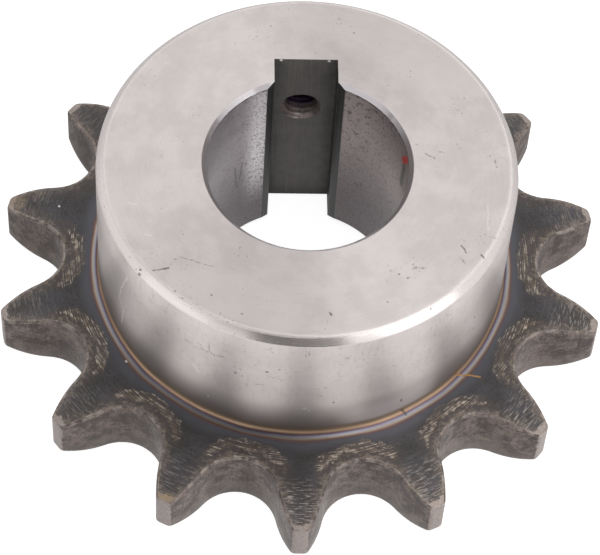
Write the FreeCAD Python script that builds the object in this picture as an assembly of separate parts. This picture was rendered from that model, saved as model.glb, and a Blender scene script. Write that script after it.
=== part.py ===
import FreeCAD
import Part

import math
import os

# Chain that the teeth are cut for, in millimetres
CHAIN_PITCH = 15.875
ROLLER_DIAMETER = 10.16

# Teeth
TEETH = 14
TOOTH_WIDTH = 8.8            # thickness of the toothed disc
TIP_RISE = 3.33              # tip circle over the pitch circle, on the radius
SEAT_CLEARANCE = 0.05        # roller seat over the roller, on the radius
SEAT_ARC = 130.0             # degrees of the seat that the roller can touch
FLANK_RADIUS = 19.5          # convex tooth flank
SIDE_RELIEF = 1.6            # how far each side of a tooth falls back at its tip
SIDE_RELIEF_RADIUS = 16.0    # curve of that fall, tangent to the disc's faces
TOOTH_TURN = -0.575          # degrees from the keyway's middle to the nearest tooth's middle

# Hub
HUB_DIAMETER = 52.0
OVERALL_HEIGHT = 30.0        # disc and hub together
HUB_CHAMFER = 1.0
HUB_FILLET = 0.8             # inside corner where the hub meets the disc

# Bore
BORE_DIAMETER = 25.0
BORE_HUB_CHAMFER = 0.5       # at the hub's face
BORE_BACK_CHAMFER = 1.0      # at the disc's back face

# Keyway, a straight slot through the whole height at +Y
KEY_WIDTH = 8.0
KEYWAY_DEPTH = 3.4           # from the bore's wall to the slot's floor, at the slot's middle
KEY_EDGE_CHAMFER = 0.85      # 45 degree break where the slot's sides meet the bore's wall
KEY_END_BREAK = 0.35         # break round the slot's mouth in the disc's back face

# Tapped hole for a set screw, from the keyway's floor out through the hub
SCREW_DIAMETER = 5.0
SCREW_PITCH = 0.8
SCREW_DROP = 10.0            # hole's axis below the hub's face
SCREW_OFFSET = -0.3          # hole's axis from the keyway's middle
SCREW_MOUTH = 0.1            # both mouths over the thread's outside, on the radius

# How far a cutting shape runs past the faces that it cuts
CUT_OVER = 2.0

PITCH_RADIUS = CHAIN_PITCH / (2 * math.sin(math.pi / TEETH))
TIP_RADIUS = PITCH_RADIUS + TIP_RISE
SEAT_RADIUS = ROLLER_DIAMETER / 2 + SEAT_CLEARANCE
HUB_RADIUS = HUB_DIAMETER / 2
BORE_RADIUS = BORE_DIAMETER / 2
KEYWAY_FLOOR = BORE_RADIUS + KEYWAY_DEPTH
TAP_RADIUS = (SCREW_DIAMETER - SCREW_PITCH) / 2

Z_AXIS = FreeCAD.Vector(0, 0, 1)
Y_AXIS = FreeCAD.Vector(0, 1, 0)
ORIGIN = FreeCAD.Vector(0, 0, 0)


def section_point(radius, height):
    """A point of a half section, which lies in the XZ plane."""
    return FreeCAD.Vector(radius, 0, height)


def line(start, end):
    return Part.LineSegment(start, end).toShape()


def arc_about(centre, radius, start, end):
    """The short arc about centre between two points at that radius from it."""
    middle = (start - centre) + (end - centre)
    middle = centre + middle.normalize() * radius
    return Part.Arc(start, middle, end).toShape()


def polygon(points):
    return [line(a, b) for a, b in zip(points, points[1:] + points[:1])]


def flat_sided(lower, upper):
    """The solid between two outlines with as many corners each."""
    outlines = [lower, upper]
    for a, b, c, d in zip(lower, lower[1:] + lower[:1], upper[1:] + upper[:1], upper):
        outlines.append([a, b, c, d])
    faces = [Part.Face(Part.Wire(polygon(outline))) for outline in outlines]
    return Part.makeSolid(Part.makeShell(faces))


def turned(edges):
    """The solid that a closed half section sweeps about the bore's axis."""
    return Part.Face(Part.Wire(edges)).revolve(ORIGIN, Z_AXIS, 360)


def disc_blank():
    """The disc before the teeth are cut, with both sides curving back towards the tip circle."""
    run = math.sqrt(SIDE_RELIEF_RADIUS ** 2 - (SIDE_RELIEF_RADIUS - SIDE_RELIEF) ** 2)
    relief_start = TIP_RADIUS - run
    back_axis = section_point(0, 0)
    back_start = section_point(relief_start, 0)
    back_tip = section_point(TIP_RADIUS, SIDE_RELIEF)
    front_tip = section_point(TIP_RADIUS, TOOTH_WIDTH - SIDE_RELIEF)
    front_start = section_point(relief_start, TOOTH_WIDTH)
    front_axis = section_point(0, TOOTH_WIDTH)
    back_centre = section_point(relief_start, SIDE_RELIEF_RADIUS)
    front_centre = section_point(relief_start, TOOTH_WIDTH - SIDE_RELIEF_RADIUS)
    return turned([
        line(back_axis, back_start),
        arc_about(back_centre, SIDE_RELIEF_RADIUS, back_start, back_tip),
        line(back_tip, front_tip),
        arc_about(front_centre, SIDE_RELIEF_RADIUS, front_tip, front_start),
        line(front_start, front_axis),
        line(front_axis, back_axis),
    ])


def tooth_gap():
    """The space between two teeth at +X: a roller seat with a convex flank on each side, open outwards."""
    reach = TIP_RADIUS + CUT_OVER
    half_seat = math.radians(SEAT_ARC / 2)
    seat_centre = FreeCAD.Vector(PITCH_RADIUS, 0, 0)
    seat_bottom = FreeCAD.Vector(PITCH_RADIUS - SEAT_RADIUS, 0, 0)
    seat_ends = []
    flank_centres = []
    flank_ends = []
    for side in (-1, 1):
        outward = FreeCAD.Vector(-math.cos(half_seat), side * math.sin(half_seat), 0)
        centre = seat_centre + outward * (SEAT_RADIUS + FLANK_RADIUS)
        away = centre.Length
        angle_at_axis = math.acos((away ** 2 + reach ** 2 - FLANK_RADIUS ** 2) / (2 * away * reach))
        end_angle = math.atan2(centre.y, centre.x) - side * angle_at_axis
        seat_ends.append(seat_centre + outward * SEAT_RADIUS)
        flank_centres.append(centre)
        flank_ends.append(FreeCAD.Vector(reach * math.cos(end_angle), reach * math.sin(end_angle), 0))
    wire = Part.Wire([
        Part.Arc(seat_ends[0], seat_bottom, seat_ends[1]).toShape(),
        arc_about(flank_centres[1], FLANK_RADIUS, seat_ends[1], flank_ends[1]),
        line(flank_ends[1], flank_ends[0]),
        arc_about(flank_centres[0], FLANK_RADIUS, flank_ends[0], seat_ends[0]),
    ])
    gap = Part.Face(wire).extrude(Z_AXIS * (TOOTH_WIDTH + 2 * CUT_OVER))
    gap.translate(Z_AXIS * -CUT_OVER)
    return gap


def toothed_disc():
    """The disc with its teeth, turned so that one tooth stands beside the keyway's middle."""
    step = 360.0 / TEETH
    gap = tooth_gap()
    gaps = []
    for number in range(TEETH):
        copy = gap.copy()
        copy.rotate(ORIGIN, Z_AXIS, 90 + TOOTH_TURN + (number + 0.5) * step)
        gaps.append(copy)
    return disc_blank().cut(gaps)


def hub():
    """The turned hub from the disc's middle up, with its chamfered rim and the small fillet at its foot."""
    middle = TOOTH_WIDTH / 2
    foot_radius = HUB_RADIUS + HUB_FILLET
    foot_height = TOOTH_WIDTH + HUB_FILLET
    foot_out = section_point(foot_radius, TOOTH_WIDTH)
    foot_up = section_point(HUB_RADIUS, foot_height)
    foot_centre = section_point(foot_radius, foot_height)
    rim = section_point(HUB_RADIUS, OVERALL_HEIGHT - HUB_CHAMFER)
    face_edge = section_point(HUB_RADIUS - HUB_CHAMFER, OVERALL_HEIGHT)
    face_axis = section_point(0, OVERALL_HEIGHT)
    middle_axis = section_point(0, middle)
    middle_edge = section_point(foot_radius, middle)
    return turned([
        line(middle_axis, middle_edge),
        line(middle_edge, foot_out),
        arc_about(foot_centre, HUB_FILLET, foot_out, foot_up),
        line(foot_up, rim),
        line(rim, face_edge),
        line(face_edge, face_axis),
        line(face_axis, middle_axis),
    ])


def bore():
    """The bore with a chamfer at each end."""
    return turned(polygon([
        section_point(0, -CUT_OVER),
        section_point(BORE_RADIUS + BORE_BACK_CHAMFER + CUT_OVER, -CUT_OVER),
        section_point(BORE_RADIUS, BORE_BACK_CHAMFER),
        section_point(BORE_RADIUS, OVERALL_HEIGHT - BORE_HUB_CHAMFER),
        section_point(BORE_RADIUS + BORE_HUB_CHAMFER + CUT_OVER, OVERALL_HEIGHT + CUT_OVER),
        section_point(0, OVERALL_HEIGHT + CUT_OVER),
    ]))


def keyway():
    """The slot, its chamfered long edges and the break round its mouth in the back face."""
    side = KEY_WIDTH / 2
    edge = side + KEY_EDGE_CHAMFER
    edge_y = math.sqrt(BORE_RADIUS ** 2 - edge ** 2)
    side_y = edge_y + KEY_EDGE_CHAMFER
    outline = [(-side, KEYWAY_FLOOR), (side, KEYWAY_FLOOR), (side, side_y), (edge, edge_y), (edge, 0),
               (-edge, 0), (-edge, edge_y), (-side, side_y)]
    face = Part.Face(Part.Wire(polygon([FreeCAD.Vector(x, y, -CUT_OVER) for x, y in outline])))
    slot = face.extrude(Z_AXIS * (OVERALL_HEIGHT + 2 * CUT_OVER))

    def mouth(height):
        """The slot's outline at a height below or in the break."""
        grow = KEY_END_BREAK - height
        corners = [(-side - grow, 0), (side + grow, 0), (side + grow, KEYWAY_FLOOR + grow),
                   (-side - grow, KEYWAY_FLOOR + grow)]
        return [FreeCAD.Vector(x, y, height) for x, y in corners]

    return slot.fuse(flat_sided(mouth(-CUT_OVER), mouth(KEY_END_BREAK)))


def screw_hole():
    """The tapped hole at the thread's inside diameter, opened at the keyway and at the hub's side."""
    axis_point = FreeCAD.Vector(SCREW_OFFSET, 0, OVERALL_HEIGHT - SCREW_DROP)
    mouth_radius = SCREW_DIAMETER / 2 + SCREW_MOUTH
    mouth_depth = mouth_radius - TAP_RADIUS
    hole = Part.makeCylinder(TAP_RADIUS, HUB_RADIUS + CUT_OVER, axis_point, Y_AXIS)
    inner = Part.makeCone(mouth_radius, TAP_RADIUS, mouth_depth, axis_point + Y_AXIS * KEYWAY_FLOOR, Y_AXIS)
    outer_start = axis_point + Y_AXIS * (HUB_RADIUS - mouth_depth)
    outer = Part.makeCone(TAP_RADIUS, mouth_radius + CUT_OVER, mouth_depth + CUT_OVER, outer_start, Y_AXIS)
    return hole.fuse([inner, outer])


def sprocket():
    body = toothed_disc().fuse(hub())
    body = body.cut([bore(), keyway(), screw_hole()])
    return body.removeSplitter()


os.makedirs("parts", exist_ok=True)
sprocket().exportStep("parts/sprocket.step")
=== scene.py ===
import math

import bmesh
import bpy
from mathutils import Matrix, Vector


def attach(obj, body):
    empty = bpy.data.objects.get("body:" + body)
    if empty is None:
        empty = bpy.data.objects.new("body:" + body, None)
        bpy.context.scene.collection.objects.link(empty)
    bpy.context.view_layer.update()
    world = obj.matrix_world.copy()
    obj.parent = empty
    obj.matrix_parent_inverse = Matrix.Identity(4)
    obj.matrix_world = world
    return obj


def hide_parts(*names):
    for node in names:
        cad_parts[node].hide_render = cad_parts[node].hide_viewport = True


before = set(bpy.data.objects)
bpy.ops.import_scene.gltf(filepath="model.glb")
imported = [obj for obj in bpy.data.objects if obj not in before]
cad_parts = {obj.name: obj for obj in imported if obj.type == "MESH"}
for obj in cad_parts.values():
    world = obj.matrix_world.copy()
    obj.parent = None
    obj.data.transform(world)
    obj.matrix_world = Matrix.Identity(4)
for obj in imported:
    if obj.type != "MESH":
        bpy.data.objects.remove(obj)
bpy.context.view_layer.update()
MM = 0.001


# The toothed disc and its hub
#
# One piece of steel, turned from bar. The hub and the rim are faced and chamfered in the lathe, then the
# tooth gaps are hobbed, so that every tooth is the same. The teeth are hardened by induction, which leaves
# black oxide on the disc and rings of temper colour where the heat stopped at the foot of the hub.

# Teeth and disc, in millimetres
TEETH = 14
CHAIN_PITCH = 15.875
PITCH_RADIUS = CHAIN_PITCH / (2 * math.sin(math.pi / TEETH))
TIP_RADIUS = PITCH_RADIUS + 3.33
SEAT_RADIUS = 5.13
HALF_SEAT = math.radians(65)
FLANK_RADIUS = 19.5
TOOTH_WIDTH = 8.8
RELIEF = 1.6
RELIEF_RADIUS = 16.0
RELIEF_START = TIP_RADIUS - math.sqrt(RELIEF_RADIUS ** 2 - (RELIEF_RADIUS - RELIEF) ** 2)
FIRST_TOOTH = math.radians(90 - 0.575)
FIRST_GAP = FIRST_TOOTH - math.pi / TEETH
TIP_CORNER = 0.45
EDGE_BREAK = 0.22

# Hub
HUB_RADIUS = 26.0
HEIGHT = 30.0
HUB_CHAMFER = 1.0
HUB_FILLET = 0.8
RIM_ROUND = 0.12

# Circles where the mesh of a tooth starts on the hub's face, reaches the flat disc and ends on the back
FACE_RING = 24.3
FOOT_RING = 28.9
BACK_RING = 25.0

# Steps of that mesh along half a tooth's outline, and its rows on the face, round an edge and down a wall
SEAT_STEPS = 12
FLANK_STEPS = 10
CORNER_STEPS = 4
LAND_STEPS = 3
FACE_ROWS = 13
EDGE_ROWS = 4
WALL_ROWS = 6

# Finishes by number
HUB, PLATE, FLANK = 0, 1, 2

# A distance that counts as far from a tooth's edge, and the widest seam that is closed
FAR_FROM_EDGE = 6.0
SEAM = 0.002


def bend(start, corner, end, steps):
    """Points of a small round that takes the place of a corner."""
    points = []
    for step in range(steps + 1):
        t = step / steps
        points.append(start * (1 - t) ** 2 + corner * 2 * t * (1 - t) + end * t ** 2)
    return points


def half_tooth():
    """The tooth's outline from the middle of a gap, on +X, to the middle of the next tooth's tip."""
    seat = Vector((PITCH_RADIUS, 0))
    leave = Vector((-math.cos(HALF_SEAT), math.sin(HALF_SEAT)))
    points = []
    for step in range(SEAT_STEPS):
        angle = HALF_SEAT * step / SEAT_STEPS
        points.append(seat + Vector((-math.cos(angle), math.sin(angle))) * SEAT_RADIUS)
    centre = seat + leave * (SEAT_RADIUS + FLANK_RADIUS)
    reach = math.acos((centre.length_squared + TIP_RADIUS ** 2 - FLANK_RADIUS ** 2)
                      / (2 * centre.length * TIP_RADIUS))
    corner_angle = math.atan2(centre.y, centre.x) - reach
    corner = Vector((math.cos(corner_angle), math.sin(corner_angle))) * TIP_RADIUS
    first = math.atan2(-leave.y, -leave.x)
    last = math.atan2(corner.y - centre.y, corner.x - centre.x) - TIP_CORNER / FLANK_RADIUS
    for step in range(FLANK_STEPS + 1):
        angle = first + (last - first) * step / FLANK_STEPS
        points.append(centre + Vector((math.cos(angle), math.sin(angle))) * FLANK_RADIUS)
    land = corner_angle + TIP_CORNER / TIP_RADIUS
    land_start = Vector((math.cos(land), math.sin(land))) * TIP_RADIUS
    points += bend(points[-1], corner, land_start, CORNER_STEPS)[1:]
    middle = math.pi / TEETH
    for step in range(1, LAND_STEPS + 1):
        angle = land + (middle - land) * step / LAND_STEPS
        points.append(Vector((math.cos(angle), math.sin(angle))) * TIP_RADIUS)
    return points


def face_fall(radius):
    """How far the disc's side has fallen back at a radius."""
    over = max(radius - RELIEF_START, 0)
    return RELIEF_RADIUS - math.sqrt(RELIEF_RADIUS ** 2 - over ** 2)


def hub_section():
    """Half section of the hub, as radius and height, from the face down to the disc."""
    section = [Vector((FACE_RING, HEIGHT))]
    rim = Vector((HUB_RADIUS - HUB_CHAMFER, HEIGHT))
    shoulder = Vector((HUB_RADIUS, HEIGHT - HUB_CHAMFER))
    slant = Vector((RIM_ROUND, -RIM_ROUND)) * 2 / 3
    section += bend(rim - Vector((RIM_ROUND, 0)), rim, rim + slant, 3)
    section += bend(shoulder - slant, shoulder, shoulder - Vector((0, RIM_ROUND)), 3)
    for height in (24.0, 18.0, 13.0):
        section.append(Vector((HUB_RADIUS, height)))
    foot = Vector((HUB_RADIUS + HUB_FILLET, TOOTH_WIDTH + HUB_FILLET))
    for step in range(9):
        angle = math.pi / 2 * step / 8
        section.append(foot - Vector((math.cos(angle), math.sin(angle))) * HUB_FILLET)
    section.append(Vector((FOOT_RING, TOOTH_WIDTH)))
    return section


def edge_gap(place, edge):
    """Distance from a point of the disc's face to the nearest edge of the tooth and its gaps."""
    gaps = []
    for a, b in zip(edge, edge[1:]):
        share = min(max((place - a).dot(b - a) / (b - a).length_squared, 0), 1)
        gaps.append((place - a.lerp(b, share)).length)
    return min(gaps)


def tooth_column(point, normal, inner, section, edge):
    """Points from the hub's face over a point of the outline to the back: place, height, gap and finish."""
    direction = point.normalized()
    start = direction * FOOT_RING
    fall = face_fall(inner.length)
    column = []
    lower = []
    for p in section:
        place = direction * p.x
        column.append((place, p.y, edge_gap(place, edge), HUB if p.y > TOOTH_WIDTH + 0.001 else PLATE))
    for step in range(1, FACE_ROWS + 1):
        place = start.lerp(inner, step / FACE_ROWS)
        gap = edge_gap(place, edge)
        column.append((place, TOOTH_WIDTH - face_fall(place.length), gap, PLATE))
        lower.append((place, face_fall(place.length), gap, PLATE))
    for step in range(1, EDGE_ROWS + 1):
        angle = math.pi / 2 * step / EDGE_ROWS
        place = inner + normal * EDGE_BREAK * math.sin(angle)
        down = EDGE_BREAK * (1 - math.cos(angle))
        column.append((place, TOOTH_WIDTH - fall - down, 0.0, FLANK))
        lower.append((place, fall + down, 0.0, FLANK))
    top = TOOTH_WIDTH - fall - EDGE_BREAK
    bottom = fall + EDGE_BREAK
    for step in range(1, WALL_ROWS):
        height = top + (bottom - top) * step / WALL_ROWS
        column.append((point, height, min(top - height, height - bottom), FLANK))
    column += reversed(lower)
    column.append((start, 0.0, edge_gap(start, edge), PLATE))
    column.append((direction * BACK_RING, 0.0, FAR_FROM_EDGE, PLATE))
    return column


def tooth_pitch_mesh(finishes):
    """One tooth from gap to gap, with its slice of the hub, open on both sides and at the bore."""
    half = half_tooth()
    middle = math.pi / TEETH
    axis = Vector((math.cos(middle), math.sin(middle)))
    outline = half + [2 * point.dot(axis) * axis - point for point in reversed(half[:-1])]
    pitch = Matrix.Rotation(2 * middle, 2)
    longer = [pitch.inverted() @ outline[-2]] + outline + [pitch @ outline[1]]
    normals = []
    for before, after in zip(longer, longer[2:]):
        along = (after - before).normalized()
        normals.append(Vector((along.y, -along.x)))
    edge = [point - normal * EDGE_BREAK for point, normal in zip(outline, normals)]
    section = hub_section()
    mesh = bmesh.new()
    edge_layer = mesh.verts.layers.float.new("edge_distance")
    zone_layer = mesh.faces.layers.int.new("zone")
    columns = []
    for point, normal, inner in zip(outline, normals, edge):
        verts = []
        zones = []
        for place, height, gap, zone in tooth_column(point, normal, inner, section, edge):
            vert = mesh.verts.new((place.x * MM, place.y * MM, height * MM))
            vert[edge_layer] = gap
            verts.append(vert)
            zones.append(zone)
        columns.append((verts, zones))
    for (left, zones), (right, _) in zip(columns, columns[1:]):
        for row, (upper, lower) in enumerate(zip(zones, zones[1:])):
            face = mesh.faces.new((left[row], left[row + 1], right[row + 1], right[row]))
            face[zone_layer] = HUB if HUB in (upper, lower) else max(upper, lower)
            face.smooth = True
    data = bpy.data.meshes.new("one_tooth")
    mesh.to_mesh(data)
    mesh.free()
    for material in finishes:
        data.materials.append(material)
    return data


def feed(tree, node, inputs):
    """Gives a node's inputs their values, or the sockets that they follow."""
    for key, value in inputs.items():
        if isinstance(value, bpy.types.NodeSocket):
            tree.links.new(value, node.inputs[key])
        else:
            node.inputs[key].default_value = value


def put(tree, kind, inputs=None, **settings):
    """A new node of a tree with its settings and its inputs."""
    node = tree.nodes.new(kind)
    for name, value in settings.items():
        setattr(node, name, value)
    feed(tree, node, inputs or {})
    return node


def reckon(tree, operation, *values):
    """One step of arithmetic."""
    return put(tree, "ShaderNodeMath", dict(enumerate(values)), operation=operation).outputs[0]


def tooth_ring_tree(materials):
    """Sets one tooth pitch round the bore's axis, closes the seams and gives each zone its finish."""
    tree = bpy.data.node_groups.new("ring_of_teeth", "GeometryNodeTree")
    for name, kind in (("One tooth", "Geometry"), ("Teeth", "Int"), ("First gap", "Float"),
                       ("Seam", "Float")):
        tree.interface.new_socket(name, in_out="INPUT", socket_type="NodeSocket" + kind)
    tree.interface.new_socket("Disc", in_out="OUTPUT", socket_type="NodeSocketGeometry")
    given = put(tree, "NodeGroupInput").outputs
    step = reckon(tree, "DIVIDE", 2 * math.pi, given["Teeth"])
    points = put(tree, "GeometryNodePoints", {"Count": given["Teeth"]}).outputs[0]
    index = put(tree, "GeometryNodeInputIndex").outputs[0]
    angle = reckon(tree, "MULTIPLY_ADD", index, step, given["First gap"])
    turn = put(tree, "ShaderNodeCombineXYZ", {"Z": angle}).outputs[0]
    spin = put(tree, "FunctionNodeEulerToRotation", {0: turn}).outputs[0]
    copies = put(tree, "GeometryNodeInstanceOnPoints",
                 {"Points": points, "Instance": given["One tooth"], "Rotation": spin}).outputs[0]
    real = put(tree, "GeometryNodeRealizeInstances", {0: copies}).outputs[0]
    shape = put(tree, "GeometryNodeMergeByDistance",
                {"Geometry": real, "Distance": given["Seam"]}).outputs[0]
    zone = put(tree, "GeometryNodeInputNamedAttribute", {"Name": "zone"}, data_type="INT").outputs[0]
    for number, material in enumerate(materials):
        same = put(tree, "FunctionNodeCompare", {2: zone, 3: number}, data_type="INT", operation="EQUAL")
        shape = put(tree, "GeometryNodeSetMaterial",
                    {"Geometry": shape, "Selection": same.outputs[0], "Material": material}).outputs[0]
    put(tree, "NodeGroupOutput", {0: shape})
    return tree


def finish_tree(name):
    """A new material, its tree and its shader."""
    material = bpy.data.materials.new(name)
    material.use_nodes = True
    tree = material.node_tree
    return material, tree, tree.nodes["Principled BSDF"]


def times(tree, first, *others):
    """Several values multiplied."""
    for other in others:
        first = reckon(tree, "MULTIPLY", first, other)
    return first


def ease(tree, value, low, high, start=0.0, end=1.0):
    """Passes smoothly from start to end while a value goes from low to high."""
    return put(tree, "ShaderNodeMapRange",
               {"Value": value, "From Min": low, "From Max": high, "To Min": start, "To Max": end},
               interpolation_type="SMOOTHSTEP", clamp=False).outputs[0]


def band(tree, value, low, full, fade, high):
    """Rises from 0 at low to 1 at full, and falls from 1 at fade to 0 at high."""
    return times(tree, ease(tree, value, low, full), ease(tree, value, high, fade))


def vector(tree, operation, *values, output=0):
    """One step of reckoning with places."""
    return put(tree, "ShaderNodeVectorMath", dict(enumerate(values)), operation=operation).outputs[output]


def scaled(tree, place, factor):
    """A place brought nearer or farther by one factor."""
    return put(tree, "ShaderNodeVectorMath", {0: place, "Scale": factor}, operation="SCALE").outputs[0]


def apart(tree, place):
    """The three parts of a place."""
    return put(tree, "ShaderNodeSeparateXYZ", {0: place}).outputs


def grain(tree, place, scale, detail=3.0, rough=0.55):
    """Uneven pattern, about 0.5 on the whole. Three scales in place of one draw it out one way."""
    if isinstance(scale, tuple):
        place = vector(tree, "MULTIPLY", place, scale)
        scale = 1.0
    return put(tree, "ShaderNodeTexNoise",
               {"Vector": place, "Scale": scale, "Detail": detail, "Roughness": rough}).outputs[0]


def frayed(tree, value, pattern, amount):
    """A value that a pattern pushes up and down by up to half an amount."""
    return reckon(tree, "ADD", value, reckon(tree, "MULTIPLY_ADD", pattern, amount, -amount / 2))


def mixed(tree, share, *colours):
    """A colour between two."""
    first, second = (c if isinstance(c, bpy.types.NodeSocket) else (*c, 1.0) for c in colours)
    return put(tree, "ShaderNodeMix", {0: share, 6: first, 7: second}, data_type="RGBA").outputs[2]


def over(tree, ground, cover, colour, strength=1.0):
    """A ground with a colour laid over it, where and as strongly as a cover says."""
    if strength < 1:
        cover = times(tree, cover, strength)
    return mixed(tree, cover, ground, colour)


def relief(tree, height, strength, depth):
    """The slopes of a fine relief, with its depth in mm."""
    return put(tree, "ShaderNodeBump",
               {"Height": height, "Strength": strength, "Distance": depth * MM}).outputs[0]


def lathe_sheen(tree):
    """Lines of the lathe run round the axis and draw the light out across them."""
    round_it = put(tree, "ShaderNodeTangent", direction_type="RADIAL", axis="Z").outputs[0]
    return {"Anisotropic": 0.75, "Anisotropic Rotation": 0.25, "Tangent": round_it}


def colour_scale(tree, value, stops):
    """Colours that follow a value, given as value and colour from low to high."""
    low = stops[0][0]
    high = stops[-1][0]
    share = put(tree, "ShaderNodeMapRange", {"Value": value, "From Min": low, "From Max": high}).outputs[0]
    node = put(tree, "ShaderNodeValToRGB", {0: share})
    ramp = node.color_ramp.elements
    ramp[0].color = (*stops[0][1], 1.0)
    ramp[1].color = (*stops[-1][1], 1.0)
    for spot, colour in stops[1:-1]:
        ramp.new((spot - low) / (high - low)).color = (*colour, 1.0)
    return node.outputs[0]


def place_group():
    """Where a point of the part is: place in mm, radius, height, angle, and the path over its section."""
    group = bpy.data.node_groups.new("place_on_part", "ShaderNodeTree")
    for name, kind in (("Place", "Vector"), ("Radius", "Float"), ("Height", "Float"), ("Angle", "Float"),
                       ("Path", "Float"), ("Along", "Vector")):
        group.interface.new_socket(name, in_out="OUTPUT", socket_type="NodeSocket" + kind)
    place = scaled(group, put(group, "ShaderNodeTexCoord").outputs["Object"], 1 / MM)
    x, y, z = apart(group, place)
    flat = put(group, "ShaderNodeCombineXYZ", {"X": x, "Y": y}).outputs[0]
    radius = vector(group, "LENGTH", flat, output="Value")
    path = reckon(group, "SUBTRACT", radius, z)
    rise = put(group, "ShaderNodeCombineXYZ", {"Z": path}).outputs[0]
    along = vector(group, "ADD", vector(group, "NORMALIZE", flat), rise)
    put(group, "NodeGroupOutput", {"Place": place, "Radius": radius, "Height": z,
                                   "Angle": reckon(group, "ARCTAN2", y, x), "Path": path, "Along": along})
    return group


def gap_wave(tree, angle):
    """Goes from 1 at the middle of each tooth gap to -1 at the middle of each tooth."""
    return reckon(tree, "COSINE", reckon(tree, "MULTIPLY_ADD", angle, TEETH, -TEETH * FIRST_GAP))


def temper_group():
    """The colours that the heat left, from the bare hub over the fillet to the black disc."""
    group = bpy.data.node_groups.new("temper_colours", "ShaderNodeTree")
    for name, kind in (("Colour", "Color"), ("Heat", "Float"), ("Metal", "Float")):
        group.interface.new_socket(name, in_out="OUTPUT", socket_type="NodeSocket" + kind)
    at = put(group, "ShaderNodeGroup", node_tree=place_on_part).outputs
    heat = reckon(group, "SUBTRACT", at["Path"], HUB_RADIUS - TOOTH_WIDTH - HUB_FILLET)
    lift = times(group, gap_wave(group, at["Angle"]), ease(group, heat, 1.5, 2.9, 0.02, 0.28))
    heat = frayed(group, heat, grain(group, at["Along"], (2.2, 2.2, 0.0)), 0.7)
    heat = reckon(group, "ADD", heat, lift)
    heat = reckon(group, "ADD", heat, ease(group, at["Height"], 6.0, 4.0, 0.0, 20.0))
    put(group, "NodeGroupOutput", {"Colour": colour_scale(group, heat, TEMPER), "Heat": heat,
                                   "Metal": ease(group, heat, 1.75, 2.1, 1.0, 0.0)})
    return group


def stroke_group():
    """How much a straight stroke of a given width covers the surface."""
    group = bpy.data.node_groups.new("stroke", "ShaderNodeTree")
    for name, kind in (("Place", "Vector"), ("Start", "Vector"), ("End", "Vector"), ("Width", "Float")):
        group.interface.new_socket(name, in_out="INPUT", socket_type="NodeSocket" + kind)
    group.interface.new_socket("Cover", in_out="OUTPUT", socket_type="NodeSocketFloat")
    given = put(group, "NodeGroupInput").outputs
    to_point = vector(group, "SUBTRACT", given["Place"], given["Start"])
    to_end = vector(group, "SUBTRACT", given["End"], given["Start"])
    reach = vector(group, "DOT_PRODUCT", to_point, to_end, output="Value")
    whole = vector(group, "DOT_PRODUCT", to_end, to_end, output="Value")
    share = reckon(group, "MAXIMUM", reckon(group, "DIVIDE", reach, whole), 0)
    foot = scaled(group, to_end, reckon(group, "MINIMUM", share, 1))
    away = vector(group, "DISTANCE", to_point, foot, output="Value")
    rim = times(group, given["Width"], 0.5)
    core = times(group, given["Width"], 0.2)
    put(group, "NodeGroupOutput", {"Cover": ease(group, away, rim, core)})
    return group


def strokes(tree, place, surface, marks):
    """Cover of marks on a surface. Each has its width in mm, its start and one or more ends."""
    total = None
    for width, *stops in marks:
        ends = [surface(*stop) for stop in stops]
        for start, end in zip(ends, ends[1:]):
            one = put(tree, "ShaderNodeGroup", {"Place": place, "Start": start, "End": end, "Width": width},
                      node_tree=stroke).outputs[0]
            total = one if total is None else reckon(tree, "MAXIMUM", total, one)
    return total


def on_face(x, y):
    """A place on the hub's face."""
    return x, y, HEIGHT


def on_side(degrees, height):
    """A place on the hub's side, from the chamfer at its rim down to the fillet at its foot."""
    radius = HUB_RADIUS - max(height - HEIGHT + HUB_CHAMFER, 0)
    drop = TOOTH_WIDTH + HUB_FILLET - height
    if drop > 0:
        radius += HUB_FILLET - math.sqrt(max(HUB_FILLET ** 2 - drop ** 2, 0))
    angle = math.radians(degrees)
    return radius * math.cos(angle), radius * math.sin(angle), height


def on_disc(x, y):
    """A place on the disc's face beside the hub."""
    return x, y, TOOTH_WIDTH - face_fall(math.hypot(x, y))


def hub_marks(tree, place, on_its_face, on_its_side):
    """Cover of the marks on the hub's face and on its side."""
    return reckon(tree, "MAXIMUM", strokes(tree, place, on_face, on_its_face),
                  strokes(tree, place, on_side, on_its_side))


# Temper colours by place on the section, in mm: below 0 up the hub, from 0 over its fillet and the disc
TEMPER = [
    (-7.5, (0.665, 0.61, 0.595)),
    (-5.4, (0.58, 0.53, 0.515)),
    (-2.9, (0.40, 0.36, 0.35)),
    (-1.4, (0.31, 0.275, 0.26)),
    (-0.5, (0.28, 0.23, 0.19)),
    (-0.1, (0.36, 0.27, 0.19)),
    (0.16, (0.52, 0.38, 0.26)),
    (0.45, (0.58, 0.41, 0.28)),
    (0.65, (0.38, 0.24, 0.17)),
    (0.85, (0.13, 0.085, 0.085)),
    (1.07, (0.14, 0.125, 0.17)),
    (1.31, (0.30, 0.29, 0.34)),
    (1.52, (0.40, 0.37, 0.35)),
    (1.64, (0.42, 0.34, 0.27)),
    (1.76, (0.26, 0.17, 0.14)),
    (1.92, (0.13, 0.085, 0.085)),
    (2.14, (0.100, 0.097, 0.118)),
    (2.44, (0.094, 0.098, 0.112)),
    (2.94, (0.080, 0.078, 0.086)),
    (3.74, (0.070, 0.066, 0.070)),
]
place_on_part = place_group()
stroke = stroke_group()
temper = temper_group()

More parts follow.
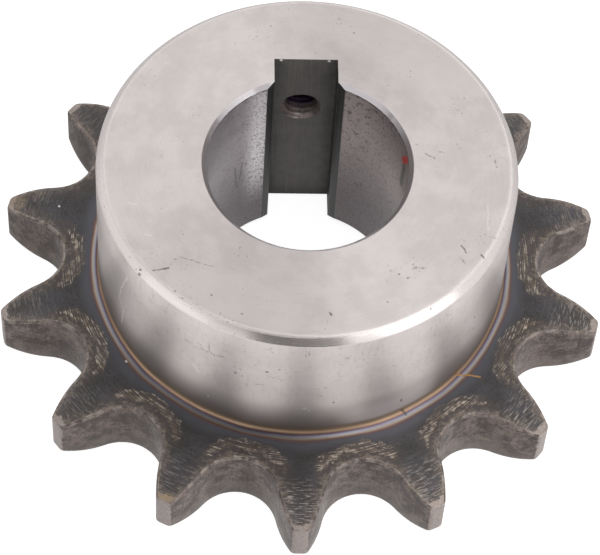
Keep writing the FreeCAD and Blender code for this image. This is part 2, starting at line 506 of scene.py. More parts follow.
# Bare steel with the lathe's fine rings, the cut chamfers at the rim and at the bore, and paler patches
hub_steel, tree, shader = finish_tree("turned_steel")
at = put(tree, "ShaderNodeGroup", node_tree=place_on_part).outputs
temper_here = put(tree, "ShaderNodeGroup", node_tree=temper).outputs
place = at["Place"]
radius = at["Radius"]
height = at["Height"]
heat = temper_here["Heat"]
shadow = (0.42, 0.38, 0.37)
turning = grain(tree, at["Along"], (7.0, 7.0, 6.0), 4.0, 0.65)
bare = mixed(tree, ease(tree, grain(tree, place, 0.22, 5.0, 0.65), 0.38, 0.62),
             (0.652, 0.594, 0.578), (0.712, 0.658, 0.642))
bare = over(tree, bare, ease(tree, turning, 0.35, 0.75, 0.0, 0.11), shadow)
rim_cut = times(tree, ease(tree, radius, 24.9, 25.1), ease(tree, height, 28.9, 29.1))
bare = over(tree, bare, rim_cut, (0.75, 0.695, 0.68), 0.8)
bore_cut = times(tree, ease(tree, radius, 13.1, 12.98), ease(tree, height, 29.3, 29.45))
# The bore's chamfer is painted light at the back, where it faces the light, and at the front, and dark at
# its left and right
far = reckon(tree, "ADD", reckon(tree, "SINE", at["Angle"]), 0.2)
cut = mixed(tree, ease(tree, reckon(tree, "ABSOLUTE", far), 0.40, 1.0),
            (0.15, 0.13, 0.13), (0.64, 0.60, 0.62))
rings = grain(tree, at["Along"], (3.0, 3.0, 22.0), 3.0, 0.6)
cut = over(tree, cut, ease(tree, rings, 0.50, 0.64, 0.0, 0.5), (0.14, 0.12, 0.12))
bare = over(tree, bare, bore_cut, cut)
light = strokes(tree, place, on_face, [
    (14.0, (9.0, 21.5), (17.0, 14.5)),
    (12.0, (-13.0, -19.5), (-6.0, -22.5)),
])
bare = over(tree, bare, light, (0.765, 0.710, 0.680), 0.55)

# Upright draw lines and pits on the hub's side, specks all over
on_its_side = ease(tree, height, 29.3, 28.9)
drawn = grain(tree, at["Along"], (60.0, 60.0, 0.35), 2.0, 0.6)
bare = over(tree, bare, times(tree, ease(tree, drawn, 0.5, 0.8, 0.0, 0.30), on_its_side), shadow)
bare = over(tree, bare, on_its_side, shadow, 0.16)
speck = frayed(tree, grain(tree, place, 2.2, 3.0, 0.6), grain(tree, place, 0.17, 2.0), 0.5)
bare = over(tree, bare, ease(tree, speck, 0.68, 0.76, 0.0, 0.55), (0.24, 0.20, 0.19))
pits = ease(tree, grain(tree, place, 1.2, 4.0, 0.65), 0.61, 0.69, 0.0, 0.45)
bare = over(tree, bare, times(tree, pits, on_its_side), (0.28, 0.24, 0.23))

# Scratches and dents: width, then stops in mm on the face, or in degrees and mm of height on the side
shaky = put(tree, "ShaderNodeTexNoise", {"Vector": place, "Scale": 1.3, "Detail": 3.0}).outputs[1]
shaky = scaled(tree, vector(tree, "SUBTRACT", shaky, (0.5, 0.5, 0.5)), 0.45)
shaky = vector(tree, "ADD", place, shaky)
pale = hub_marks(tree, shaky, [
    (0.35, (-21.88, -6.27), (-20.84, -6.43)),
    (0.40, (-19.71, -10.85), (-18.95, -10.92)),
    (0.50, (21.70, -9.37), (21.75, -9.40)),
    (0.22, (21.86, -6.02), (21.71, -9.15)),
], [
    (0.30, (-147.1, 25.5), (-150.7, 21.0), (-151.9, 17.9), (-149.6, 16.4), (-151.1, 12.8)),
    (0.45, (-121.9, 18.6), (-120.2, 17.4)),
    (0.40, (-117.0, 12.9), (-117.0, 12.7)),
    (0.65, (-90.3, 14.9), (-89.9, 14.8)),
    (0.40, (-89.1, 14.43), (-89.0, 14.38)),
    (0.30, (-108.8, 21.6), (-108.5, 21.1)),
])
dark = hub_marks(tree, shaky, [
    (0.26, (-18.67, -16.02), (-17.50, -15.76)),
    (0.42, (-17.50, -15.76), (-16.90, -15.64)),
    (0.34, (-11.74, -19.35), (-11.71, -19.38)),
    (0.32, (-15.21, -19.88), (-15.15, -19.92)),
    (0.32, (-16.11, -18.92), (-16.06, -18.96)),
    (0.40, (-9.89, -23.12), (-9.85, -23.15)),
    (0.34, (-8.13, -22.05), (-8.04, -22.02)),
    (0.32, (18.41, -11.94), (18.70, -12.35), (18.94, -12.91)),
    (0.36, (20.71, -13.17), (21.01, -13.65)),
    (0.34, (10.68, -16.07), (10.73, -16.10)),
    (0.34, (11.71, -16.67), (11.74, -16.77)),
    (0.34, (9.20, -20.03), (9.25, -20.05)),
    (0.40, (2.34, -21.74), (2.51, -22.02)),
], [
    (0.45, (-142.5, 29.47), (-142.4, 29.49)),
    (0.55, (-141.9, 29.08), (-141.7, 29.11)),
    (0.40, (-55.3, 29.70), (-55.2, 29.68)),
    (0.50, (-101.0, 22.66), (-101.0, 22.55)),
    (0.45, (-109.6, 20.67), (-109.6, 20.55)),
    (0.40, (-82.7, 16.1), (-82.5, 15.9)),
    (0.35, (-37.4, 20.2), (-37.1, 19.8)),
    (0.40, (-62.6, 12.4), (-62.4, 11.9)),
    (0.45, (-62.1, 9.7), (-61.4, 9.1), (-61.1, 8.9)),
])
grey = hub_marks(tree, shaky, [
    (0.20, (-15.47, -14.01), (-11.35, -15.43)),
    (0.36, (14.44, 1.65), (15.64, 0.96)),
    (0.32, (16.18, 1.98), (16.84, 1.80)),
    (0.28, (18.02, -13.51), (18.72, -14.47)),
    (0.50, (12.63, -15.13), (13.76, -15.30)),
    (0.28, (23.08, 0.79), (23.20, -0.22)),
    (0.30, (22.46, 1.48), (22.53, 1.45)),
], [
    (0.34, (-140.7, 25.57), (-140.6, 25.55)),
    (0.34, (-138.9, 22.33), (-138.7, 22.31)),
    (0.34, (-141.0, 23.23), (-140.9, 23.21)),
    (0.40, (-124.9, 23.1), (-122.6, 23.1)),
    (0.50, (-122.0, 22.8), (-117.5, 23.0), (-112.9, 23.2)),
    (0.36, (-120.6, 23.9), (-119.0, 23.1)),
    (0.36, (-117.4, 24.6), (-117.1, 23.3)),
    (0.36, (-103.7, 19.2), (-102.7, 19.5), (-101.8, 19.4)),
    (0.36, (-103.6, 20.60), (-103.4, 20.59)),
    (0.26, (-91.1, 28.2), (-91.0, 26.8)),
    (0.26, (-90.2, 28.2), (-90.1, 27.2)),
])
grey = times(tree, grey, ease(tree, grain(tree, place, 3.0, 2.0), 0.35, 0.6))

# Painted shade on both flanks of the hub, where its sides mirror a darker surround, and a painted highlight
# at its front
tinted = over(tree, bare, ease(tree, heat, -7.5, -5.0), temper_here["Colour"])
flanks = ease(tree, reckon(tree, "ABSOLUTE", reckon(tree, "COSINE", at["Angle"])), 0.45, 0.85)
# Painted shade on the hub's left and right sides, between its foot and its rim
painted_side_shade = times(tree, flanks, band(tree, height, 10.0, 13.0, 22.0, 28.0))
tinted = over(tree, tinted, painted_side_shade, (0.26, 0.235, 0.23), 0.35)
# A painted highlight low on the hub's side at the front right
painted_glint = ease(tree, reckon(tree, "COSINE", reckon(tree, "ADD", at["Angle"], 1.15)), 0.955, 0.995)
painted_glint = times(tree, painted_glint, band(tree, heat, -5.6, -2.6, -1.2, -0.2))
tinted = over(tree, tinted, painted_glint, (0.72, 0.67, 0.67), 0.75)
tinted = over(tree, tinted, grey, (0.16, 0.14, 0.14), 0.55)
tinted = over(tree, tinted, pale, (0.80, 0.77, 0.75), 0.6)
tinted = over(tree, tinted, dark, (0.06, 0.05, 0.05), 0.62)
rust = strokes(tree, shaky, on_side, [(0.40, (-43.2, 10.1), (-42.5, 9.4), (-41.3, 8.9), (-40.4, 8.8))])
tinted = over(tree, tinted, rust, (0.42, 0.24, 0.09), 0.8)

# The rim's upper edge is worn dull
worn_edge = band(tree, radius, 24.7, 24.95, 25.1, 25.3)
metal = reckon(tree, "MULTIPLY_ADD", bore_cut, -0.85, temper_here["Metal"])
grooves = reckon(tree, "MULTIPLY_ADD", turning, 0.25, times(tree, dark, -1.5))
grooves = reckon(tree, "ADD", grooves, times(tree, speck, 0.4))
feed(tree, shader, {
    "Base Color": tinted,
    "Metallic": reckon(tree, "MULTIPLY_ADD", worn_edge, -0.6, metal),
    "Roughness": reckon(tree, "MULTIPLY_ADD", rim_cut, -0.14, ease(tree, turning, 0.2, 0.8, 0.37, 0.43)),
    "Normal": relief(tree, grooves, 0.25, 0.04),
    **lathe_sheen(tree),
})

# Black oxide, uneven and finely turned
oxide, tree, shader = finish_tree("black_oxide")
at = put(tree, "ShaderNodeGroup", node_tree=place_on_part).outputs
temper_here = put(tree, "ShaderNodeGroup", node_tree=temper).outputs
place = at["Place"]
radius = at["Radius"]
along = at["Along"]
edge = put(tree, "ShaderNodeAttribute", attribute_name="edge_distance").outputs["Fac"]
fine = grain(tree, place, 3.5, 4.0, 0.65)
turning = grain(tree, along, (12.0, 12.0, 7.0), 3.0, 0.6)
black = mixed(tree, ease(tree, grain(tree, place, 0.30), 0.35, 0.65),
              (0.062, 0.058, 0.058), (0.082, 0.079, 0.086))
black = over(tree, black, ease(tree, fine, 0.45, 0.70, 0.0, 0.6), (0.026, 0.024, 0.024))
black = over(tree, black, ease(tree, turning, 0.55, 0.80, 0.0, 0.30), (0.11, 0.10, 0.095))
skin = mixed(tree, ease(tree, temper_here["Heat"], 2.9, 3.9), temper_here["Colour"], black)

# Round each gap the oxide is rubbed brown, with short pale streaks that run as the disc was turned
wavy = frayed(tree, edge, grain(tree, place, 0.7, 4.0, 0.65), 2.6)
arcs = ease(tree, reckon(tree, "SINE", times(tree, wavy, 5.5)), -1.0, 0.6, 0.55, 1.0)
zone = times(
    tree,
    arcs,
    ease(tree, wavy, 2.8, 2.2),
    ease(tree, wavy, 0.5, 1.5, 0.55, 1.0),
    ease(tree, gap_wave(tree, at["Angle"]), -1.0, -0.5),
    ease(tree, radius, 33.2, 30.6, 0.15, 1.0),
    ease(tree, reckon(tree, "SINE", at["Angle"]), 0.0, 0.28, 1.0, 0.35),
)
dash = grain(tree, along, (6.0, 6.0, 9.5), 2.0, 0.5)
streak = ease(tree, reckon(tree, "SUBTRACT", dash, ease(tree, zone, 0.0, 0.9, 0.72, 0.455)), 0.0, 0.15)
streak = times(tree, streak, ease(tree, zone, 0.05, 0.3))
tone = mixed(tree, ease(tree, grain(tree, place, 1.3, 3.0, 0.6), 0.40, 0.62),
             (0.19, 0.145, 0.112), (0.64, 0.56, 0.47))
brown = times(tree, ease(tree, wavy, 2.4, 0.0), ease(tree, fine, 0.40, 0.60, 0.0, 0.9))
brown = reckon(tree, "MAXIMUM", brown, times(tree, zone, 0.8))
skin = over(tree, skin, brown, (0.145, 0.110, 0.088), 0.7)
skin = over(tree, skin, streak, tone, 0.9)
worn = times(tree, ease(tree, wavy, 1.0, 0.3), ease(tree, grain(tree, place, 2.0, 4.0, 0.65), 0.45, 0.60))
skin = over(tree, skin, worn, (0.26, 0.21, 0.17), 0.6)

# Towards the tips the chain has scuffed and scored the teeth, and the pale scores are painted stronger at
# the front, where they catch the light, as a painted highlight
scuff = ease(tree, grain(tree, along, (15.0, 15.0, 4.5), 4.0, 0.7), 0.52, 0.64)
scuff = times(tree, scuff, ease(tree, radius, 30.5, 36.0, 0.15, 1.0))
skin = over(tree, skin, scuff, (0.22, 0.19, 0.175), 0.6)
x, y, z = apart(tree, place)
score_and_highlight = times(
    tree,
    ease(tree, grain(tree, along, (30.0, 30.0, 6.0), 3.0, 0.6), 0.54, 0.62),
    ease(tree, radius, 31.5, 35.0, 0.0, 0.85),
    ease(tree, x, -14.0, -5.0, 0.35, 1.0),
    ease(tree, x, 4.0, 14.0, 1.0, 0.62),
    ease(tree, y, 0.0, -14.0, 0.6, 1.0),
)
skin = over(tree, skin, score_and_highlight, (0.46, 0.41, 0.38))

# Edges are rubbed bright, with a burr here and there, and the tips are bare
rubbed = ease(tree, frayed(tree, edge, fine, 1.0), 0.30, 0.02)
skin = over(tree, skin, rubbed, (0.22, 0.19, 0.17), 0.6)
edge_band = times(tree, ease(tree, edge, 0.14, 0.05), ease(tree, grain(tree, place, 0.9, 4.0, 0.7), 0.49, 0.60))
skin = over(tree, skin, edge_band, (0.50, 0.44, 0.39), 0.75)
tip = ease(tree, frayed(tree, radius, grain(tree, place, 1.4), 1.2), 38.05, 38.2)
tip_steel = mixed(tree, ease(tree, fine, 0.3, 0.7), (0.30, 0.25, 0.22), (0.42, 0.36, 0.33))
skin = over(tree, skin, tip, tip_steel)

# A rusty scratch at the foot of the hub, stains on two tips and pale spots
scratch = strokes(tree, place, on_disc, [
    (0.36, (20.1, -17.38), (20.9, -17.30)),
    (0.30, (20.9, -17.30), (22.31, -17.57)),
])
skin = over(tree, skin, scratch, (0.46, 0.26, 0.09))
stain = strokes(tree, place, on_disc, [(2.4, (-17.6, -34.7), (-16.7, -34.9))])
skin = over(tree, skin, times(tree, stain, ease(tree, fine, 0.35, 0.6, 0.1, 0.7)), (0.39, 0.27, 0.12))
stain = strokes(tree, place, on_disc, [(2.6, (-37.3, 9.3), (-36.5, 8.6))])
skin = over(tree, skin, times(tree, stain, ease(tree, fine, 0.35, 0.6, 0.2, 0.8)), (0.27, 0.21, 0.155))
spot = strokes(tree, place, on_disc, [
    (0.40, (-8.47, -29.37), (-8.44, -29.51)),
    (0.40, (-22.14, -15.78), (-22.09, -15.87)),
    (0.34, (-31.29, 7.62), (-31.25, 7.55)),
])
skin = over(tree, skin, spot, (0.75, 0.72, 0.70))
rough = ease(tree, radius, 28.0, 31.0, 0.36, 0.48)
feed(tree, shader, {
    "Base Color": skin,
    "Metallic": reckon(tree, "MAXIMUM", temper_here["Metal"], 0.55),
    "Roughness": reckon(tree, "MULTIPLY_ADD", fine, 0.1, rough),
    "Normal": relief(tree, reckon(tree, "MULTIPLY_ADD", fine, 0.6, times(tree, turning, 0.4)), 0.4, 0.08),
    **lathe_sheen(tree),
})

# Tooth walls as the hob left them, smoked brown and grey in patches
flank_steel, tree, shader = finish_tree("hobbed_flank")
at = put(tree, "ShaderNodeGroup", node_tree=place_on_part).outputs
place = at["Place"]
height = at["Height"]
edge = put(tree, "ShaderNodeAttribute", attribute_name="edge_distance").outputs["Fac"]
fine = grain(tree, place, 3.0, 4.0, 0.65)
blotch = grain(tree, place, 0.9, 4.0, 0.7)
hob_lines = grain(tree, place, (2.6, 2.6, 0.22), 3.0, 0.6)
smear = grain(tree, place, (0.8, 0.8, 2.6), 4.0, 0.65)
wall = mixed(tree, ease(tree, grain(tree, place, 0.40, 4.0, 0.65), 0.41, 0.59),
             (0.054, 0.034, 0.028), (0.206, 0.156, 0.134))
wall = over(tree, wall, ease(tree, hob_lines, 0.42, 0.75, 0.0, 0.28), (0.236, 0.190, 0.170))
wall = over(tree, wall, ease(tree, smear, 0.52, 0.66, 0.0, 0.55), (0.055, 0.043, 0.038))
wall = over(tree, wall, ease(tree, smear, 0.46, 0.34, 0.0, 0.45), (0.255, 0.200, 0.176))
wall = over(tree, wall, ease(tree, fine, 0.50, 0.62, 0.0, 0.7), (0.046, 0.033, 0.030))
mottle = times(tree, ease(tree, blotch, 0.50, 0.60), ease(tree, height, 3.0, 6.5))
wall = over(tree, wall, mottle, (0.055, 0.040, 0.036), 0.62)
# Painted light low on each wall, where the floor throws light back up
low = times(tree, ease(tree, height, 4.0, 1.5), ease(tree, fine, 0.3, 0.6))
wall = over(tree, wall, low, (0.23, 0.20, 0.18), 0.5)
rubbed = times(
    tree,
    ease(tree, frayed(tree, edge, fine, 0.6), 0.34, 0.12),
    ease(tree, ease(tree, height, 4.0, 5.0), 0.0, 1.0, 0.5, 1.0),
    ease(tree, blotch, 0.44, 0.60, 0.1, 1.0),
)
wall = over(tree, wall, rubbed, (0.36, 0.305, 0.275), 0.65)
tip = ease(tree, frayed(tree, at["Radius"], grain(tree, place, 1.4), 0.5), 38.75, 38.9)
tip_steel = mixed(tree, ease(tree, fine, 0.3, 0.7), (0.28, 0.235, 0.215), (0.42, 0.355, 0.33))
wall = over(tree, wall, tip, tip_steel)
feed(tree, shader, {
    "Base Color": wall,
    "Metallic": 0.30,
    "Roughness": ease(tree, fine, 0.2, 0.8, 0.36, 0.52),
    "Normal": relief(tree, reckon(tree, "MULTIPLY_ADD", fine, 0.5, times(tree, hob_lines, 0.8)), 0.4, 0.10),
})

finishes = [hub_steel, oxide, flank_steel]
disc = bpy.data.objects.new("toothed_disc", tooth_pitch_mesh(finishes))
bpy.context.collection.objects.link(disc)
ring = disc.modifiers.new("ring_of_teeth", "NODES")
ring.node_group = tooth_ring_tree(finishes)
ring_sizes = {"Teeth": TEETH, "First gap": FIRST_GAP, "Seam": SEAM * MM}
for item in ring.node_group.interface.items_tree:
    if item.in_out == "INPUT" and item.name in ring_sizes:
        ring[item.identifier] = ring_sizes[item.name]
turned = bpy.data.meshes.new_from_object(disc.evaluated_get(bpy.context.evaluated_depsgraph_get()))
bpy.data.objects.remove(disc)


# The bore and its keyway
#
# The bore is finish-turned and chamfered, and the keyway is broached through its whole height. The long
# edges of the keyway are broken at 45 degrees, and its lower mouth lightly.

BORE_RADIUS = 12.5
TOP_CHAMFER = 0.5
BACK_CHAMFER = 1.0
KEY_HALF = 4.0
KEY_FLOOR = 15.9
KEY_EDGE = 0.85
MOUTH_BREAK = 0.35
BORE_POINTS = 240


def bore_outline(height):
    """Bore and keyway at a height: points, and whether the wall after each belongs to the keyway."""
    radius = BORE_RADIUS + max(BACK_CHAMFER - height, 0) + max(height - HEIGHT + TOP_CHAMFER, 0)
    grow = max(MOUTH_BREAK - height, 0)
    side = KEY_HALF + grow
    floor = KEY_FLOOR + grow
    edge_x = KEY_HALF + KEY_EDGE
    slope = edge_x + math.sqrt(BORE_RADIUS ** 2 - edge_x ** 2)
    meet_x = (slope - math.sqrt(2 * radius ** 2 - slope ** 2)) / 2
    if meet_x > side:
        meet = Vector((meet_x, slope - meet_x))
        corner = Vector((side, slope - side))
    else:
        corner = Vector((side, math.sqrt(radius ** 2 - side ** 2)))
        meet = corner
    start = math.atan2(meet.x, meet.y)
    points = []
    for step in range(BORE_POINTS + 1):
        angle = start + (2 * math.pi - 2 * start) * step / BORE_POINTS
        points.append((Vector((math.sin(angle), math.cos(angle))) * radius, step == BORE_POINTS))
    left = Vector((-side, corner.y))
    points.append((left, True))
    for step in range(1, 5):
        points.append((left.lerp(Vector((-side, floor)), step / 4), True))
    for step in range(1, 9):
        points.append((Vector((-side + 2 * side * step / 8, floor)), True))
    for step in range(1, 5):
        points.append((Vector((side, floor)).lerp(corner, step / 4), True))
    return points


def on_bore(degrees, height):
    """A place on the bore's wall."""
    angle = math.radians(degrees)
    return BORE_RADIUS * math.cos(angle), BORE_RADIUS * math.sin(angle), height


def on_key_floor(x, height):
    """A place on the keyway's floor."""
    return x, KEY_FLOOR, height


# Bored steel, with painted shade that makes it darker towards the back, scarred and speckled by the tool
bore_steel, tree, shader = finish_tree("bored_steel")
at = put(tree, "ShaderNodeGroup", node_tree=place_on_part).outputs
place = at["Place"]
x, y, z = apart(tree, place)
fine = grain(tree, place, 3.0, 4.0, 0.65)
turning = grain(tree, at["Along"], (4.0, 4.0, 5.0), 3.0, 0.6)
wall = mixed(tree, ease(tree, x, -6.0, 6.0), (0.50, 0.455, 0.475), (0.37, 0.31, 0.30))
cloud = ease(tree, grain(tree, place, 0.35, 4.0, 0.6), 0.45, 0.70, 0.0, 0.35)
wall = over(tree, wall, cloud, (0.28, 0.24, 0.24))
wall = over(tree, wall, ease(tree, turning, 0.45, 0.75, 0.0, 0.3), (0.22, 0.185, 0.185))
scar = grain(tree, place, (1.3, 1.3, 0.9), 5.0, 0.8)
scar = reckon(tree, "ADD", scar, ease(tree, z, 24.0, 28.5, 0.0, 0.05))
scar = times(tree, ease(tree, scar, 0.565, 0.65), ease(tree, x, -8.0, 5.0, 0.2, 0.8))
wall = over(tree, wall, scar, (0.09, 0.07, 0.07))
# Painted shade, deeper towards the back of the bore, where less light comes in from the top
wall = over(tree, wall, ease(tree, z, 26.0, 6.0, 0.0, 0.90), (0.085, 0.072, 0.076))

# Painted light on stretches at the left and at the right, stronger higher up where light comes in at the
# top, a painted highlight in a strip beside the keyway, and dark specks over all of it
left = times(tree, ease(tree, x, -9.0, -12.0, 0.0, 0.65), ease(tree, z, 12.0, 24.0))
wall = over(tree, wall, left, (0.62, 0.58, 0.61))
right = times(tree, ease(tree, x, 9.5, 12.0, 0.0, 0.35), ease(tree, z, 12.0, 20.0))
wall = over(tree, wall, right, (0.62, 0.54, 0.53))
# A painted highlight in a strip beside the keyway
painted_highlight_strip = times(
    tree,
    band(tree, x, -8.0, -5.9, -4.8, -4.0),
    ease(tree, y, 0.0, 1.0),
    ease(tree, z, 4.0, 16.0),
    ease(tree, fine, 0.62, 0.45, 0.3, 1.0),
)
wall = over(tree, wall, painted_highlight_strip, (0.92, 0.88, 0.90), 0.72)
specks = times(tree, ease(tree, fine, 0.54, 0.66), ease(tree, x, -2.0, 6.0, 0.6, 1.0))
wall = over(tree, wall, specks, (0.05, 0.04, 0.04), 0.6)

# An oily run, a dab of red paint, scratches down the wall and a dark band just under the face
oily = strokes(tree, place, on_bore, [(1.5, (12.2, 26.0), (14.5, 21.5))])
wall = over(tree, wall, oily, (0.075, 0.080, 0.070), 0.7)
paint = strokes(tree, place, on_bore, [(1.4, (7.4, 28.6), (15.3, 26.2))])
wall = over(tree, wall, paint, (0.80, 0.06, 0.05))
cuts = strokes(tree, place, on_bore, [
    (0.35, (133.7, 15.7), (131.7, 11.0)),
    (0.28, (128.0, 15.9), (129.7, 12.4)),
    (0.40, (124.1, 2.7), (123.2, 2.4)),
])
wall = over(tree, wall, cuts, (0.05, 0.04, 0.045), 0.5)
edge_band = times(tree, ease(tree, z, 29.0, 29.4), ease(tree, grain(tree, place, 0.8, 4.0, 0.7), 0.42, 0.56))
wall = over(tree, wall, edge_band, (0.055, 0.04, 0.04), 0.85)
feed(tree, shader, {
    "Base Color": wall,
    "Metallic": 0.75,
    "Roughness": ease(tree, fine, 0.2, 0.8, 0.36, 0.48),
    "Normal": relief(tree, fine, 0.4, 0.06),
})

# Broached steel, drawn lengthwise, dark at its sides, with two bright dots at the upper end
key_steel, tree, shader = finish_tree("broached_steel")
place = put(tree, "ShaderNodeGroup", node_tree=place_on_part).outputs["Place"]
from_middle = reckon(tree, "ABSOLUTE", apart(tree, place)[0])
lines = grain(tree, place, (7.0, 7.0, 0.12), 3.0, 0.65)
cloud = grain(tree, place, 0.5, 4.0, 0.6)
wall = mixed(tree, ease(tree, cloud, 0.35, 0.65), (0.056, 0.052, 0.048), (0.085, 0.077, 0.071))
middle = times(tree, ease(tree, from_middle, 3.8, 2.0), ease(tree, lines, 0.40, 0.75, 0.1, 0.7))
wall = over(tree, wall, middle, (0.185, 0.164, 0.150))
wall = over(tree, wall, ease(tree, from_middle, 4.02, 4.08), (0.014, 0.015, 0.014), 0.85)
bright_dots = strokes(tree, place, on_key_floor, [
    (0.50, (-3.16, 29.79), (-3.11, 29.71)),
    (0.50, (2.88, 29.73), (2.93, 29.65)),
])
wall = over(tree, wall, bright_dots, (0.85, 0.83, 0.80))
feed(tree, shader, {
    "Base Color": wall,
    "Metallic": 0.3,
    "Roughness": ease(tree, lines, 0.2, 0.8, 0.4, 0.55),
    "Normal": relief(tree, lines, 0.4, 0.06),
})

BORE, KEYWAY, CHAMFER = 3, 4, 0
mesh = bmesh.new()
mesh.from_mesh(turned)
edge_layer = mesh.verts.layers.float.get("edge_distance")
rims = {True: [], False: []}
for edge in mesh.edges:
    if edge.is_boundary:
        rims[edge.verts[0].co.z > HEIGHT * MM / 2].append(edge)
levels = [HEIGHT, 29.75, HEIGHT - TOP_CHAMFER, 22.0, 14.0, 7.0, BACK_CHAMFER, 0.67, MOUTH_BREAK, 0.17, 0.0]
rings = []
for level in levels:
    outline = bore_outline(level)
    ring_verts = [mesh.verts.new((p.x * MM, p.y * MM, level * MM)) for p, _ in outline]
    for vert in ring_verts:
        vert[edge_layer] = FAR_FROM_EDGE
    rings.append((ring_verts, [in_keyway for _, in_keyway in outline]))
for level, (upper, in_keyway), (lower, _) in zip(levels, rings, rings[1:]):
    cut_back = level > HEIGHT - TOP_CHAMFER or level <= BACK_CHAMFER
    for index, key in enumerate(in_keyway):
        after = (index + 1) % len(upper)
        face = mesh.faces.new((upper[index], lower[index], lower[after], upper[after]))
        face.smooth = True
        face.material_index = KEYWAY if key else CHAMFER if cut_back else BORE
for ring_verts, rim, side in ((rings[0][0], rims[True], 1), (rings[-1][0], rims[False], -1)):
    edges = list(rim)
    for vert, after in zip(ring_verts, ring_verts[1:] + ring_verts[:1]):
        edges.append(mesh.edges.get((vert, after)))
    made = bmesh.ops.triangle_fill(mesh, use_beauty=True, use_dissolve=False, edges=edges,
                                   normal=(0, 0, side))
    for item in made["geom"]:
        if isinstance(item, bmesh.types.BMFace):
            item.material_index = HUB if side > 0 else PLATE
            item.smooth = True
bmesh.ops.remove_doubles(mesh, verts=mesh.verts, dist=1e-6)
bmesh.ops.recalc_face_normals(mesh, faces=mesh.faces)
body_mesh = bpy.data.meshes.new("sprocket_steel")
mesh.to_mesh(body_mesh)
mesh.free()
for material in (hub_steel, oxide, flank_steel, bore_steel, key_steel):
    body_mesh.materials.append(material)
body = bpy.data.objects.new("sprocket_steel", body_mesh)
bpy.context.collection.objects.link(body)


# The thread for the set screw
#
# An M5 hole, tapped from the outside of the hub through to the keyway's floor, where the screw presses on
# the key. Both mouths are opened a little past the thread.

SCREW_X = -0.3
SCREW_Z = 20.0
THREAD_PITCH = 0.8
THREAD_INSIDE = 2.1
THREAD_OUTSIDE = 2.5
THREAD_CREST = 0.05
THREAD_FLANK = 0.25
MOUTH_RADIUS = 2.6
TAP_OVERRUN = 0.6
TAP_POINTS = 64
TAP_ROWS = 240

# Cut steel, with painted shade, nearly black and a little violet, where the thread lies deep in the hub
thread_steel, tree, shader = finish_tree("tapped_steel")
place = put(tree, "ShaderNodeGroup", node_tree=place_on_part).outputs["Place"]
fine = grain(tree, place, 4.0, 3.0, 0.6)
wall = mixed(tree, ease(tree, fine, 0.35, 0.7), (0.26, 0.21, 0.22), (0.52, 0.46, 0.41))
# Painted shade deep in the hole, where the wall falls in shadow
painted_deep_shade = band(tree, apart(tree, place)[1], 17.3, 18.3, 22.5, 24.8)
feed(tree, shader, {
    "Base Color": over(tree, wall, painted_deep_shade, (0.04, 0.018, 0.06), 0.95),
    "Metallic": 0.6,
    "Roughness": ease(tree, fine, 0.2, 0.8, 0.28, 0.45),
})

mesh = bmesh.new()
rows = []
first = KEY_FLOOR - TAP_OVERRUN
last = HUB_RADIUS + TAP_OVERRUN
for row in range(TAP_ROWS + 1):
    y = first + (last - first) * row / TAP_ROWS
    verts = []
    for column in range(TAP_POINTS):
        turn = column / TAP_POINTS
        from_crest = abs((y / THREAD_PITCH - turn) % 1 - 0.5) * THREAD_PITCH
        depth = min(max((from_crest - THREAD_CREST) / THREAD_FLANK, 0), 1)
        radius = THREAD_OUTSIDE - (THREAD_OUTSIDE - THREAD_INSIDE) * depth
        radius = max(radius, MOUTH_RADIUS - (y - KEY_FLOOR), MOUTH_RADIUS - (HUB_RADIUS - y))
        x = SCREW_X + radius * math.sin(2 * math.pi * turn)
        z = SCREW_Z + radius * math.cos(2 * math.pi * turn)
        verts.append(mesh.verts.new((x * MM, y * MM, z * MM)))
    rows.append(verts)
for lower, upper in zip(rows, rows[1:]):
    for column in range(TAP_POINTS):
        after = (column + 1) % TAP_POINTS
        mesh.faces.new((lower[column], lower[after], upper[after], upper[column])).smooth = True
mesh.faces.new(rows[0])
mesh.faces.new(rows[-1])
bmesh.ops.recalc_face_normals(mesh, faces=mesh.faces)
tap_mesh = bpy.data.meshes.new("tap")
mesh.to_mesh(tap_mesh)
mesh.free()
tap_mesh.materials.append(thread_steel)
tap = bpy.data.objects.new("tap", tap_mesh)
bpy.context.collection.objects.link(tap)
cut = body.modifiers.new("tapped_hole", "BOOLEAN")
cut.operation = "DIFFERENCE"
cut.solver = "EXACT"
cut.material_mode = "TRANSFER"
cut.object = tap
finished = bpy.data.meshes.new_from_object(body.evaluated_get(bpy.context.evaluated_depsgraph_get()))
body.modifiers.clear()
body.data = finished
bpy.data.objects.remove(tap)
body.data.set_sharp_from_angle(angle=math.radians(28))
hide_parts("sprocket")
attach(body, "root")


# The studio
#
# A plain pale floor under the part, soft lamps above and on both sides, and a dark card in front that the
# polished edges mirror. Sizes and places are in metres.

FLOOR_REACH = 3.0
FLOOR_DROP = 0.0001
CARD_PLACE = Vector((-0.036, -0.513, 0.309))


def sheet(name, left, right, reach, level):
    """A flat sheet that reaches as far to the front as to the back."""
    mesh = bpy.data.meshes.new(name)
    corners = [(left, -reach, level), (right, -reach, level), (right, reach, level), (left, reach, level)]
    mesh.from_pydata(corners, [], [(0, 1, 2, 3)])
    made = bpy.data.objects.new(name, mesh)
    bpy.context.collection.objects.link(made)
    return made


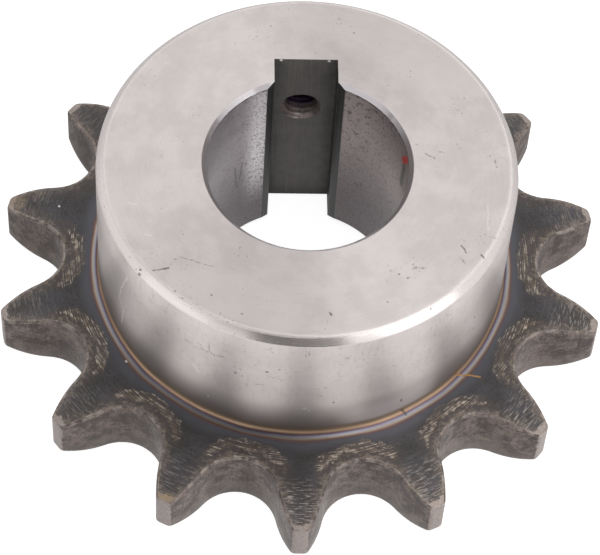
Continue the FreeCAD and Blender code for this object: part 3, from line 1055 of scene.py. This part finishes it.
# The floor glows a little for the camera, and steel mirrors it brighter in front of the part than behind it
# and brightest in a painted glow under the bore, for the bore's walls to mirror
floor = sheet("floor", -FLOOR_REACH, FLOOR_REACH, FLOOR_REACH, -FLOOR_DROP)
floor_finish, tree, shader = finish_tree("pale_floor")
seen = put(tree, "ShaderNodeLightPath").outputs
spot = put(tree, "ShaderNodeTexCoord").outputs["Object"]
painted_glow_under_bore = ease(tree, vector(tree, "LENGTH", spot, output="Value"), 0.015, 0.014, 0.0, 0.9)
mirrored = reckon(tree, "MAXIMUM", ease(tree, apart(tree, spot)[1], -0.03, 0.03, 0.74, 0.28), painted_glow_under_bore)
mirrored = times(tree, seen["Is Glossy Ray"], mirrored)
feed(tree, shader, {
    "Base Color": (0.4, 0.4, 0.4, 1),
    "Roughness": 0.9,
    "Specular IOR Level": 0.0,
    "Emission Color": (1, 1, 1, 1),
    "Emission Strength": reckon(tree, "MAXIMUM", mirrored, times(tree, seen["Is Camera Ray"], 0.9)),
})

# Seen from below, the floor is clear
below = times(tree, put(tree, "ShaderNodeNewGeometry").outputs["Backfacing"], seen["Is Camera Ray"])
clear = put(tree, "ShaderNodeBsdfTransparent").outputs[0]
sides = put(tree, "ShaderNodeMixShader", {0: below, 1: shader.outputs[0], 2: clear}).outputs[0]
feed(tree, tree.nodes["Material Output"], {"Surface": sides})
floor.data.materials.append(floor_finish)

card = sheet("dark_card", -0.18, 0.215, 0.22, 0)
card_turn = CARD_PLACE.to_track_quat("Z", "Y").to_matrix().to_4x4()
card.data.transform(Matrix.Translation(CARD_PLACE) @ card_turn)
card.visible_camera = False
card_finish, tree, shader = finish_tree("dark_felt")
feed(tree, shader, {"Base Color": (0.34, 0.33, 0.33, 1), "Roughness": 1.0, "Specular IOR Level": 0.0})
card.data.materials.append(card_finish)

# A white surround, which steel mirrors less bright high up at the front left
world = bpy.data.worlds.new("studio")
world.use_nodes = True
bpy.context.scene.world = world
tree = world.node_tree
seen = put(tree, "ShaderNodeLightPath").outputs
x, y, z = apart(tree, put(tree, "ShaderNodeTexCoord").outputs["Generated"])
dim = times(tree, ease(tree, z, 0.45, 0.70), ease(tree, y, 0.38, 0.12), ease(tree, x, 0.20, 0.04))
mirrored = times(tree, seen["Is Glossy Ray"], reckon(tree, "MULTIPLY_ADD", dim, -0.72, 0.5))
straight = reckon(tree, "MAXIMUM", seen["Is Camera Ray"], seen["Is Transmission Ray"])
level = reckon(tree, "MAXIMUM", reckon(tree, "ADD", mirrored, 0.5), straight)
feed(tree, tree.nodes["Background"], {"Color": (1, 1, 1, 1), "Strength": level})


def lamp(name, place, size, power):
    """A square soft lamp that shines at the part."""
    light = bpy.data.lights.new(name, "AREA")
    light.size = size
    light.energy = power
    holder = bpy.data.objects.new(name, light)
    bpy.context.collection.objects.link(holder)
    holder.location = place
    away = Vector(place) - Vector((0, 0, 0.01))
    holder.rotation_euler = away.to_track_quat("Z", "Y").to_euler()
    return holder


overhead = lamp("overhead", (0.0, 0.15, 0.8), 1.0, 3.8)
overhead.visible_glossy = False
lamp("right_front", (0.648, -0.494, 0.38), 0.5, 0.92)
lamp("right_high", (0.29, -0.35, 0.66), 0.45, 1.0)
right_side = lamp("right_side", (0.60, -0.45, 0.20), 0.4, 1.2)
right_side.visible_glossy = False
left_front = lamp("left_front", (-0.706, -0.408, 0.38), 0.5, 0.24)
left_front.visible_diffuse = False

# The camera looks down at the part from in front, with a long lens and a slight roll
TURN = math.radians(4.19)
RISE = math.radians(56.9)
ROLL = math.radians(4.1916)
CAMERA_PLACE = Vector((-15.223, -208.639, 325.123)) * MM
forward = Vector((math.sin(TURN) * math.cos(RISE), math.cos(TURN) * math.cos(RISE), -math.sin(RISE)))
level_right = Vector((math.cos(TURN), -math.sin(TURN), 0))
level_up = Vector((math.sin(TURN) * math.sin(RISE), math.cos(TURN) * math.sin(RISE), math.cos(RISE)))
right = level_right * math.cos(ROLL) + level_up * math.sin(ROLL)
up = level_up * math.cos(ROLL) - level_right * math.sin(ROLL)
lens = bpy.data.cameras.new("camera")
lens.lens = 176.94
lens.sensor_width = 36.0
lens.sensor_fit = "HORIZONTAL"
lens.clip_start = 0.01
camera = bpy.data.objects.new("camera", lens)
bpy.context.collection.objects.link(camera)
turned_to = Matrix((right, up, -forward)).transposed().to_4x4()
camera.matrix_world = Matrix.Translation(CAMERA_PLACE) @ turned_to
bpy.context.scene.camera = camera
bpy.context.scene.view_settings.view_transform = "Standard"
